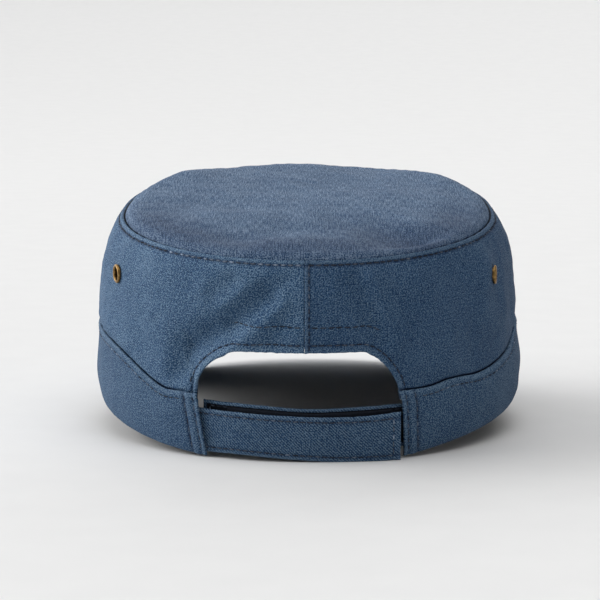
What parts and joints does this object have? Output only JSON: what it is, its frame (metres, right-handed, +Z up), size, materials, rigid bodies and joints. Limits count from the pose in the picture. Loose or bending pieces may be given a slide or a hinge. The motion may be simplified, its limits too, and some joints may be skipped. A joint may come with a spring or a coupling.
{
  "type": "work cap",
  "caption": "Soft denim work cap with a flat oval crown, wrap-round band, short curved peak and an adjustable strap across an arched opening at the back.",
  "frame": {"origin": "on the surface that the cap rests on, under the middle of its bounding box", "axes": "+Z up, -Y towards the peak, +Y towards the opening at the back, +X towards the wearer's left"},
  "size_m": [0.186, 0.263, 0.1082],
  "materials": {
    "denim": "matte cotton twill, indigo warp and pale weft",
    "denim_top": "matte cotton twill, slightly washed",
    "denim_band": "matte cotton twill, doubled and topstitched",
    "peak_cloth": "matte cotton twill over a stiff board",
    "strap_cloth": "matte cotton twill, folded and topstitched",
    "hook_tape": "dark hook-and-loop tape",
    "brass": "antique brass, worn on the rim"
  },
  "bodies": {
    "root": {"crown_top": "denim_top", "side_left": "denim", "side_right": "denim", "band": "denim_band", "peak": "peak_cloth", "strap_outer": "strap_cloth", "strap_inner": "strap_cloth", "strap_fastener": "hook_tape", "eyelet_left_rear": "brass", "eyelet_right_rear": "brass", "eyelet_left_front": "brass", "eyelet_right_front": "brass"}
  },
  "joints": []
}
